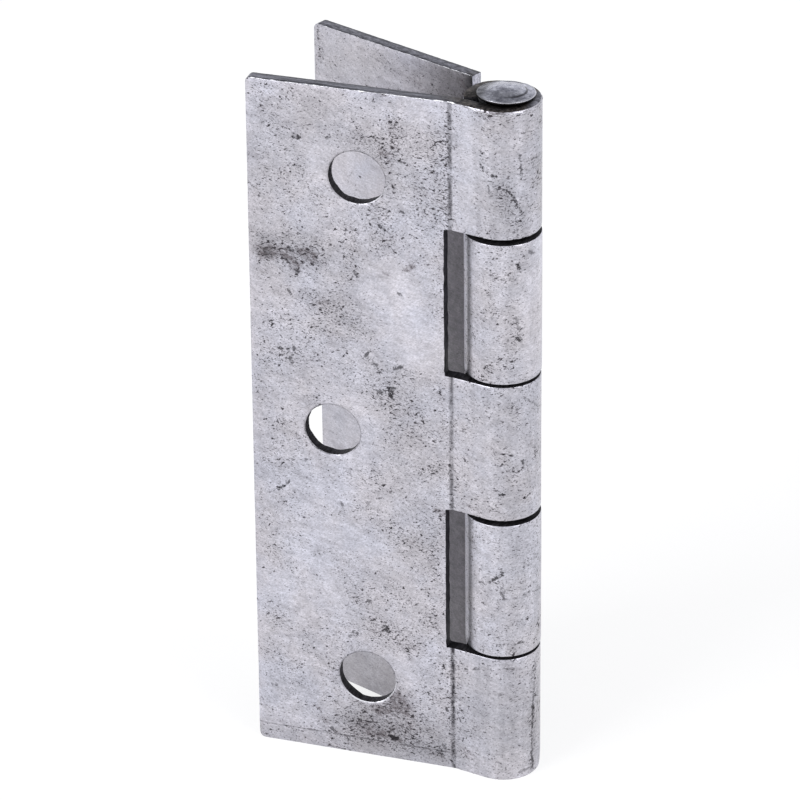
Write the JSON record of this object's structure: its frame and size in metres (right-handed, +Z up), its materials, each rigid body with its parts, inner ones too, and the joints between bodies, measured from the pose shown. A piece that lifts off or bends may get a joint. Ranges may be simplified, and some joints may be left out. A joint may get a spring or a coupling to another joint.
{
  "type": "butt hinge",
  "caption": "Pressed steel butt hinge: two flat leaves with interleaved rolled knuckles turning on a riveted pin, for hanging a door, lid or gate.",
  "frame": {"origin": "on the pin's axis, at the leaves' bottom end", "axes": "+Z up the pin towards its head; the three-knuckle leaf runs from the pin towards -X and its mounting face looks towards -Y; the two-knuckle leaf stands behind it, turned open on the +Y side"},
  "size_m": [0.0294, 0.0164, 0.076],
  "materials": {
    "leaf_steel": "self-colour rolled steel sheet, mottled, pitted and stained",
    "pin_steel": "drawn steel wire with a riveted head, dull and darkened"
  },
  "bodies": {
    "fixed_leaf": {"three_knuckle_leaf": "leaf_steel", "hinge_pin": "pin_steel"},
    "moving_leaf": {"two_knuckle_leaf": "leaf_steel"}
  },
  "joints": [
    {"name": "leaf_swing", "type": "hinge", "parent": "fixed_leaf", "child": "moving_leaf", "pos_m": [0, 0, 0.0375], "axis": [0, 0, -1], "range_deg": [-29.5, 273]}
  ]
}
